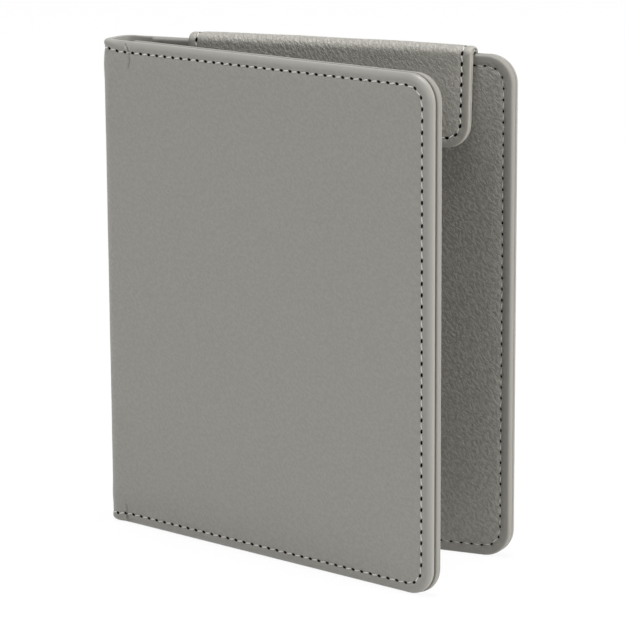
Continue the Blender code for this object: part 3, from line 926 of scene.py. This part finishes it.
def spine_swell(points):
    """The soft spine swells a little, and flares at its two ends outside the stitches."""
    start = sheet_start(1, COVER_HALF)
    soft = softness(points[:, 0], 5.0)
    inset = np.minimum(points[:, 1], COVER_HEIGHT - points[:, 1])
    round_spine = SPINE_ROUND * bell(points[:, 0] - start, SPINE_ROUND_WIDTH) * smooth(inset / 9)
    at_foot = points[:, 1] < COVER_HEIGHT / 2
    flare = np.where(at_foot, FLARE_FOOT, FLARE_HEAD) * soft * bell(inset - 1.3, 1.7)
    pinch = np.where(at_foot, PINCH_FOOT, PINCH_HEAD) * soft * bell(inset - COVER_STITCH_MARGIN, 1.4)
    belly = BELLY * soft * bell(inset - 8.5, 3.5)
    return round_spine + flare + pinch + belly


ROOM_BESIDE = 1.2  # how far beside the flap's root the seam begins to open
ROOM_DEPTH = 9.5
NO_ROOM = -9.0  # a level below all of a sheet's


def flap_room(points, level):
    """The back cover's seam stands open round the flap's root."""
    u = points[:, 0] + BACK_AXIS.x
    beside_root = smooth((u - FLAP_LEFT + ROOM_BESIDE) / 1.0) * smooth((FLAP_RIGHT + ROOM_BESIDE - u) / 1.0)
    at_top = points[:, 1] > COVER_HEIGHT - ROOM_DEPTH
    room = (ROOT_HALF + 0.1) * beside_root + min(level, SEAM_GAP) * (1 - beside_root)
    return np.where(at_top, room, NO_ROOM)


# Lines on the flat leather with their depth and width
CREASES = {
    "front": (
        (((9.4, 163.9), (10.3, 163.0), (11.2, 161.9), (11.6, 160.9)), 0.6, 0.3),
        (((11.5, 160.4), (11.6, 158.6), (11.1, 156.7)), 0.4, 0.22),
        (((6.4, 6.4), (6.6, 4.6), (6.65, 3.2)), 0.35, 0.3),
        (((6.65, 3.4), (6.7, 1.6), (6.75, 0.1)), 0.8, 0.3),
    ),
    "back": (
        (((7.2, 163.9), (8.1, 161.6), (8.0, 158.2)), 0.16, 0.36),
        (((8.6, 7.0), (8.2, 4.4), (8.9, 1.8)), 0.15, 0.36),
    ),
}


def build_cover(cover, seed):
    label, way = cover.label, cover.way
    slant = SLIT_SLANT * way
    start = sheet_start(1, COVER_HALF)
    outline = Outline(start, COVER_WIDTH, COVER_HEIGHT, COVER_CORNER)
    row = seam_row(outline, COVER_STITCH_MARGIN, slant, first=FIRST_CUT)
    face = Face(outline, [row], seed, 0.12, 0.05, CREASES[label], spine_swell, dome=COVER_DOME)
    place = cover.placer(1, COVER_HALF)
    profile = edge_profile(
        COVER_HALF, COVER_ROLL_IN, COVER_ROLL_DOWN, COVER_TURN_IN, squareness=COVER_SQUARENESS
    )
    spread = flap_room if label == "back" else None
    leather = Sheet(label + "_cover_leather", outline, face, COVER_HALF, place, profile, spread)
    item = leather.build("outer_leather", FOLD_TANGENT + FINE_PAST_FOLD)
    covered = ("_outer_skin", "_filler", "_crease_skin", "_crease_foam")
    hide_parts(*[label + node for node in covered])
    links = spine_links(row, start) if label == "back" else ()
    thread = thread_piece(label + "_cover_thread", leather, COVER_THREAD, links)
    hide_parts(label + "_outer_stitching")
    cover.bends(item, thread)
    build_panel(cover, row, slant, seed + 1, spread)
    build_hinge_lining(cover, row, slant, seed + 2)


def spine_links(row, start):
    """The stitches that cross the middle of the spine, from this cover's row to the other's."""
    ends = row.places[0], row.places[-1]
    return [(place, np.array([2 * start - place[0], place[1]])) for place in ends]


def build_panel(cover, row, slant, seed, spread):
    """The inner panel: a second skin, whose folded edge near the spine has an upright row of its own."""
    label = cover.label
    wide, high = COVER_WIDTH + PANEL_OVERHANG[label], COVER_HEIGHT + PANEL_RISE
    outline = Outline(PANEL_START, wide, high, COVER_CORNER, closed=True)
    around = Row(row.places, row.headings, slant, PANEL_CUT).part(
        row.places[:, 0] > PANEL_START + CUT_CLEAR
    )
    across = PANEL_START + PANEL_EDGE_MARGIN
    upright = np.array([(across, PANEL_ROW_MARGIN), (across, COVER_HEIGHT - PANEL_ROW_MARGIN)])
    rows = [*around, Row(*walk(upright, PITCH, 0), slant, PANEL_CUT)]
    face = Face(outline, rows, seed, swell=0.1, unevenness=0.07, bite=1.2, grain_in=3.0)
    place = cover.placer(-1, COVER_HALF)
    profile = edge_profile(COVER_HALF, PANEL_ROLL_IN, COVER_ROLL_DOWN, COVER_TURN_IN, PANEL_ROLL)
    panel = Sheet(label + "_panel_leather", outline, face, COVER_HALF, place, profile, spread)
    item = panel.build("lining_leather")
    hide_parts(label + "_inner_panel")
    thread = thread_piece(label + "_panel_thread", panel, PANEL_THREAD)
    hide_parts(label + "_inner_stitching", label + "_panel_edge_stitching")
    for piece in (item, thread):
        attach(piece, label + "_cover")


PLEAT_PITCH, PLEAT_REACH = 2.1, 3.4  # and how far the pleats reach to each side of the fold's end
LINING_DRAWN_IN = 2.5


def lining_crumple(points):
    """The lining gathers in upright pleats where the fold is tight, most so at the spine's ends."""
    inset = np.minimum(points[:, 1], COVER_HEIGHT - points[:, 1])
    away = points[:, 0] - (FOLD_TANGENT + 0.6)
    bend = 0.5 * np.sin(points[:, 1] / 11) + 0.3 * np.sin(points[:, 1] / 4.3 + 1)
    gathered = 0.45 + 0.55 * smooth(1 - inset / 14)
    pleats = np.abs(np.sin(math.pi * (points[:, 0] + 0.7 * bend) / PLEAT_PITCH)) - 0.6
    pleats = gathered * pleats * bell(away, PLEAT_REACH)
    near_panel = -0.1 * bell(points[:, 0] - PANEL_START, 1.2)
    return pleats * smooth(inset / 1.5) + near_panel


def build_hinge_lining(cover, row, slant, seed):
    """The spine's lining, from under the panel's edge round the fold to the middle of the spine."""
    label = cover.label
    start = sheet_start(-1, LINING_TOP)
    outline = Strip(start, PANEL_START - LINING_SHORT, COVER_HEIGHT)
    along = row.places[:, 0]
    flat_part = (along > FOLD_TANGENT + 0.8) & (along < PANEL_START - CUT_CLEAR)
    rows = Row(row.places, row.headings, slant, LINING_CUT).part(flat_part)
    face = Face(outline, rows, seed, extra=lining_crumple)
    place = cover.placer(-1, LINING_TOP, LINING_DRAWN_IN)
    profile = edge_profile(LINING_TOP, LINING_ROLL, LINING_ROLL, LINING_TURN_IN)
    lining = Sheet(label + "_hinge_lining", outline, face, LINING_TOP, place, profile)
    item = lining.build("lining_leather", PANEL_START)
    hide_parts(label + "_crease_lining", "spine_skin", "spine_foam", "spine_lining")
    cover.bends(item, thread_piece(label + "_hinge_thread", lining, LINING_THREAD))


# The flap

FLAP_SHIFT = -0.8  # the soft flap lies this far nearer the spine than its solid
FLAP_LEAN, FLAP_SKEW, FLAP_SAG = 0.01, 0.02, 0.02  # it hangs a little out, askew and longer
ARCH_RISE, ARCH_CROWN = 0.68, 0.16  # the soft arch is flatter than a half circle, most so at its ends


def arch_place(flat, levels, out):
    """Up out of the seam, over the arch and down inside the cover; x runs across the flap."""
    along, across = flat[:, 0], flat[:, 1]
    n = out * levels
    angle = np.clip(along / ARCH_RADIUS, 0, math.pi)
    radius = ARCH_RADIUS + n
    y = ARCH_AXIS.y + radius * np.cos(angle)
    crown = np.sin(math.pi * np.clip(across / FLAP_WIDTH, 0, 1)) ** 0.7
    z = ARCH_AXIS.z + radius * np.sin(angle) * (ARCH_RISE + ARCH_CROWN * crown)
    hang = np.maximum(along - ARCH_LENGTH, 0)
    z = z + np.where(along < 0, along, 0) - (1 + FLAP_SAG) * hang
    x = FLAP_LEFT + FLAP_SHIFT + across - FLAP_SKEW * hang
    return np.stack([x, y - FLAP_LEAN * hang, z], 1)


def flap_paring(points):
    """The flap's two skins are pared thin towards its root."""
    share = np.clip(1 - points[:, 0] / (ARCH_LENGTH * 0.55), 0, 1)
    return (ROOT_HALF - FLAP_HALF) * smooth(share)


def flap_waves(points):
    """Two soft waves lie across the arch, beside the paring."""
    across = points[:, 1] / FLAP_WIDTH
    soft = 0.1 * np.sin(2 * math.pi * (across * 1.3 + 0.1)) + 0.06 * np.sin(2 * math.pi * across * 3.1)
    return flap_paring(points) + soft * bell(points[:, 0] - 0.6 * ARCH_LENGTH, 6)


class FlapSheet(Sheet):
    """A skin of the flap; its edge is pared with its face towards the root."""

    def leather_axes(self, flat):
        return np.stack([flat[:, 1], -flat[:, 0]], 1)

    def add_ring(self, inset, level, share, start_inset):
        ring = super().add_ring(inset, level, 0.0, start_inset)
        points = np.array([self.flat[k] for k in ring])
        thin = 1 + flap_paring(points) / FLAP_HALF
        relief = share * (self.face.height(points, False) - flap_paring(points))
        for k, factor, extra in zip(ring, thin, relief):
            self.levels[k] = SEAM_GAP + (self.levels[k] - SEAM_GAP) * factor + extra
        return ring


def bend_flap(*items):
    """Bakes each piece's transform into its mesh."""
    for item in items:
        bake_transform(item)


def build_flap():
    """The two skins of the flap, each with the stitches that show on it."""
    outline = Outline(-FLAP_ROOT_DEPTH, FLAP_LENGTH, FLAP_WIDTH, FLAP_CORNER)
    profile = rolled_edge(FLAP_HALF, FLAP_ROLL_IN, FLAP_ROLL_DOWN)
    profile += [(FLAP_RIM, SEAM_GAP, 0.0, 0.0), (FLAP_RIM, FLAP_HALF - SKIN, 0.0, 0.0)]
    # Label, side, slot, nodes that the skin replaces, size of the cuts, thread
    sides = (
        ("flap", "outer", "outer_leather", ("outer_skin", "arch_skin", "filler"), 1.0, (0.17, 0.0)),
        ("flap_back", "inner", "lining_leather", ("lining", "arch_lining", "root"), 0.85, (0.16, -0.02)),
    )
    for seed, (label, side, slot, covered, size, thread) in zip((6.0, 7.0), sides):
        row = seam_row(outline, FLAP_STITCH_MARGIN, -SLIT_SLANT, size, pitch=FLAP_PITCH)
        cuts = row.part(row.places[:, 0] > CUT_CLEAR)
        face = Face(outline, cuts, seed, unevenness=0.03, extra=flap_waves)
        place = partial(arch_place, out=1 if side == "outer" else -1)
        sheet = FlapSheet(label + "_leather", outline, face, FLAP_HALF, place, profile)
        # Both skins of the flap take the leatherette painted lighter, a painted light
        item = sheet.build(slot, ARCH_LENGTH + FINE_PAST_ARCH, "flap_leather")
        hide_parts(*["flap_" + node for node in covered])
        thread = thread_piece(label + "_thread", sheet, thread)
        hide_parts("flap_" + side + "_stitching")
        bend_flap(item, thread)


def dress_inner_nodes():
    """The boards, the magnet and the plate inside the leather keep their solids."""
    for part in frame["record"]["subparts"]:
        if part["material_slot"] in ("board", "steel"):
            item = frame["nodes"][part["node"]]
            item.data.materials.clear()
            item.data.materials.append(FINISHES[part["material_slot"]])


# Camera, floor and light

CAMERA_PLACE = (0.39870, -0.87861, 0.29611)
CAMERA_TILT, CAMERA_ROLL, CAMERA_TURN = 77.426, -0.33, 23.82  # degrees
LENS_MM = 175.9


def add_camera():
    camera = add_object("camera", bpy.data.cameras.new("camera"))
    camera.data.lens = LENS_MM
    camera.data.sensor_width = 36.0
    camera.data.clip_start = 0.01
    turn = Matrix.Rotation(math.radians(CAMERA_TURN), 4, "Z")
    tilt = Matrix.Rotation(math.radians(CAMERA_TILT), 4, "X")
    roll = Matrix.Rotation(math.radians(CAMERA_ROLL), 4, "Z")
    camera.matrix_world = Matrix.Translation(CAMERA_PLACE) @ turn @ tilt @ roll
    bpy.context.scene.camera = camera


def white_to_camera(tree, lit, glow_kind, white_share):
    """Mixes a lit surface with plain white, for what the camera, gloss and glass see."""
    rays = add_node(tree, "LightPath").outputs
    seen = rays["Is Camera Ray"]
    for ray in ("Is Glossy Ray", "Is Transmission Ray"):
        seen = add_node(tree, "Math", {0: seen, 1: rays[ray]}, operation="MAXIMUM").outputs["Value"]
    share = add_node(tree, "Math", {0: seen, 1: white_share}, operation="MULTIPLY").outputs["Value"]
    glow = add_node(tree, glow_kind, {"Color": (1, 1, 1, 1), "Strength": 1.0}).outputs[0]
    return add_node(tree, "MixShader", {0: share, 1: lit, 2: glow}).outputs["Shader"]


FLOOR_REACH = 4.0  # metres
FLOOR_GAP = 0.0001  # below the holder, in metres
FLOOR_WHITE = 0.92  # share of plain white in what the camera sees; the rest of it shows the shadow


def add_floor():
    mesh = bpy.data.meshes.new("floor")
    corners = [(FLOOR_REACH * x, FLOOR_REACH * y, 0) for x, y in ((-1, -1), (1, -1), (1, 1), (-1, 1))]
    mesh.from_pydata(corners, [], [(0, 1, 2, 3)])
    floor = add_object("floor", mesh)
    floor.location.z = -FLOOR_GAP
    material, tree, shader = new_material("matt_white_floor")
    looks = {"Base Color": colour("#f4f4f2"), "Roughness": 0.9, "Specular IOR Level": 0.2}
    set_inputs(tree, shader, looks)
    shown = white_to_camera(tree, shader.outputs["BSDF"], "Emission", FLOOR_WHITE)
    tree.links.new(shown, tree.nodes["Material Output"].inputs["Surface"])
    mesh.materials.append(material)


def add_world():
    world = bpy.data.worlds.new("studio")
    world.use_nodes = True
    tree = world.node_tree
    soft = tree.nodes["Background"]
    set_inputs(tree, soft, {"Color": (1, 1, 1, 1), "Strength": WORLD_LIGHT})
    shown = white_to_camera(tree, soft.outputs["Background"], "Background", 1.0)
    tree.links.new(shown, tree.nodes["World Output"].inputs["Surface"])
    bpy.context.scene.world = world


def add_light(name, azimuth, elevation, distance, size, power, mirrored):
    """A square soft light that looks at the holder; azimuth 0 is in front of it and 90 on its right.

    A lamp that isn't mirrored leaves no glare on edges that are seen against it.
    """
    lamp = bpy.data.lights.new(name, "AREA")
    lamp.shape, lamp.size, lamp.energy = "SQUARE", size, power
    item = add_object(name, lamp)
    turn, rise = math.radians(azimuth), math.radians(elevation)
    way = Vector((math.cos(rise) * math.sin(turn), -math.cos(rise) * math.cos(turn), math.sin(rise)))
    item.location = LIGHTS_MEET + distance * way
    item.rotation_euler = way.to_track_quat("Z", "Y").to_euler()
    item.visible_glossy = mirrored


LIGHTS_MEET = Vector((0, 0, COVER_HEIGHT / 2 * MM))
WORLD_LIGHT = 0.05
# Name, azimuth and elevation in degrees, distance and size in metres, power in watts, mirrored
LAMPS = (
    ("key_softbox", -30, 30, 3.5, 1.8, 28.0, True),
    ("side_softbox", 90, 12, 3.5, 1.8, 146.0, False),
    ("top_softbox", 0, 88, 3.5, 1.8, 149.0, True),
)


def main():
    add_camera()
    dress_inner_nodes()
    build_cover(Cover("back", BACK_AXIS, 0.0, 1), 1.0)
    build_cover(Cover("front", FRONT_AXIS, -OPENING, -1), 4.0)
    build_flap()
    add_floor()
    add_world()
    for lamp in LAMPS:
        add_light(*lamp)
    bpy.context.scene.view_settings.view_transform = "Standard"


main()
